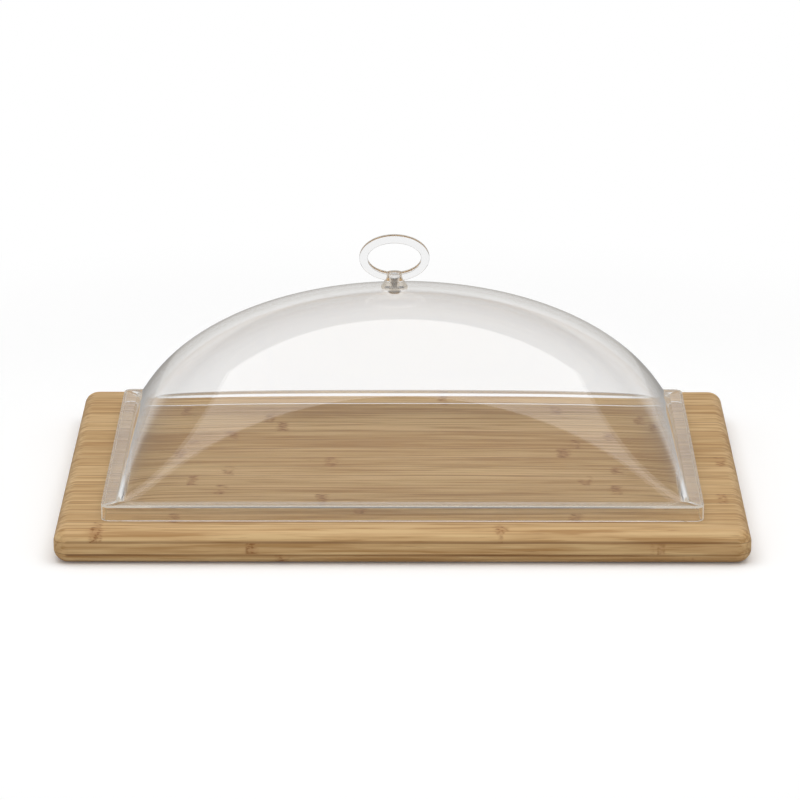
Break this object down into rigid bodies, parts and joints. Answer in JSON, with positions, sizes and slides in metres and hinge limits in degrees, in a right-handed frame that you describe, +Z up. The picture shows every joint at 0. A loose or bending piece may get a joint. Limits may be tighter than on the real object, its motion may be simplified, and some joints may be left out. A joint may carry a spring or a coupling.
{
  "type": "cheese dome",
  "caption": "Rectangular bamboo serving board with a clear domed cover that lifts off by an oval ring handle.",
  "frame": {"origin": "Centre of the board's flat underside, on the surface it stands on.", "axes": "+X along the board's long side to the right, +Y to the back, +Z up. The front long edge faces -Y."},
  "size_m": [0.4, 0.28, 0.1597],
  "materials": {
    "bamboo": "oiled, fine grain along the strips",
    "clear_acrylic": "clear, polished",
    "steel": "bright"
  },
  "bodies": {
    "board": {"top_strip_1": "bamboo", "top_strip_2": "bamboo", "top_strip_3": "bamboo", "top_strip_4": "bamboo", "top_strip_5": "bamboo", "top_strip_6": "bamboo", "top_strip_7": "bamboo", "top_strip_8": "bamboo", "top_strip_9": "bamboo", "top_strip_10": "bamboo", "top_strip_11": "bamboo", "top_strip_12": "bamboo", "top_strip_13": "bamboo", "top_strip_14": "bamboo", "top_strip_15": "bamboo", "top_strip_16": "bamboo", "core_strip_1": "bamboo", "core_strip_2": "bamboo", "core_strip_3": "bamboo", "core_strip_4": "bamboo", "core_strip_5": "bamboo", "core_strip_6": "bamboo", "core_strip_7": "bamboo", "core_strip_8": "bamboo", "core_strip_9": "bamboo", "core_strip_10": "bamboo", "core_strip_11": "bamboo", "core_strip_12": "bamboo", "core_strip_13": "bamboo", "core_strip_14": "bamboo", "core_strip_15": "bamboo", "core_strip_16": "bamboo", "core_strip_17": "bamboo", "bottom_strip_1": "bamboo", "bottom_strip_2": "bamboo", "bottom_strip_3": "bamboo", "bottom_strip_4": "bamboo", "bottom_strip_5": "bamboo", "bottom_strip_6": "bamboo", "bottom_strip_7": "bamboo", "bottom_strip_8": "bamboo", "bottom_strip_9": "bamboo", "bottom_strip_10": "bamboo", "bottom_strip_11": "bamboo", "bottom_strip_12": "bamboo", "bottom_strip_13": "bamboo", "bottom_strip_14": "bamboo", "bottom_strip_15": "bamboo", "bottom_strip_16": "bamboo"},
    "cover": {"cover": "clear_acrylic", "handle": "clear_acrylic", "handle_screw": "steel"}
  },
  "joints": [
    {"name": "cover_lift", "type": "slide", "parent": "board", "child": "cover", "axis": [0, 0, 1], "range_m": [0, 0.2]}
  ]
}
